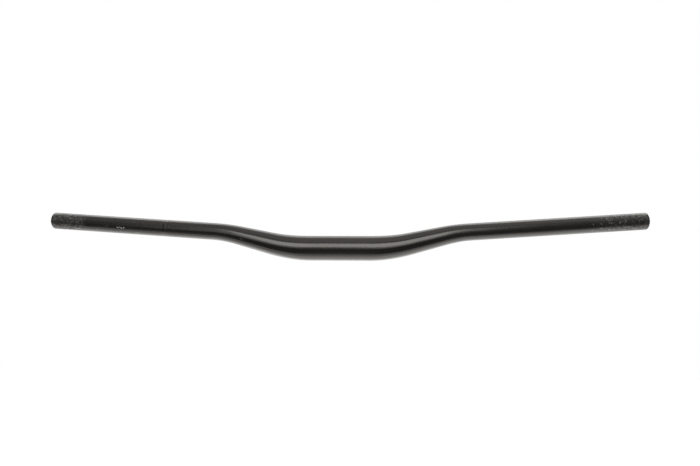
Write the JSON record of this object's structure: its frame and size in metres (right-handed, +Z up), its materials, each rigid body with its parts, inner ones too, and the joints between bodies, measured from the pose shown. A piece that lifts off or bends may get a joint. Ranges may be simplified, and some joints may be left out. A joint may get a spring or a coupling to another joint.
{
  "type": "riser handlebar",
  "caption": "Riser handlebar for a mountain bike: a tapered, butted aluminium tube bent up and back on each side of a straight stem clamp, with open grip ends.",
  "frame": {"origin": "on the tube's axis in the middle of the straight stem clamp", "axes": "+X along the clamp to the rider's left, +Y back to the rider, where the grips sweep to, +Z up, where they rise to"},
  "size_m": [0.8032, 0.0693, 0.0653],
  "materials": {
    "black_anodised": "satin black anodised, worn at the ends"
  },
  "bodies": {
    "root": {"handlebar": "black_anodised"}
  },
  "joints": []
}
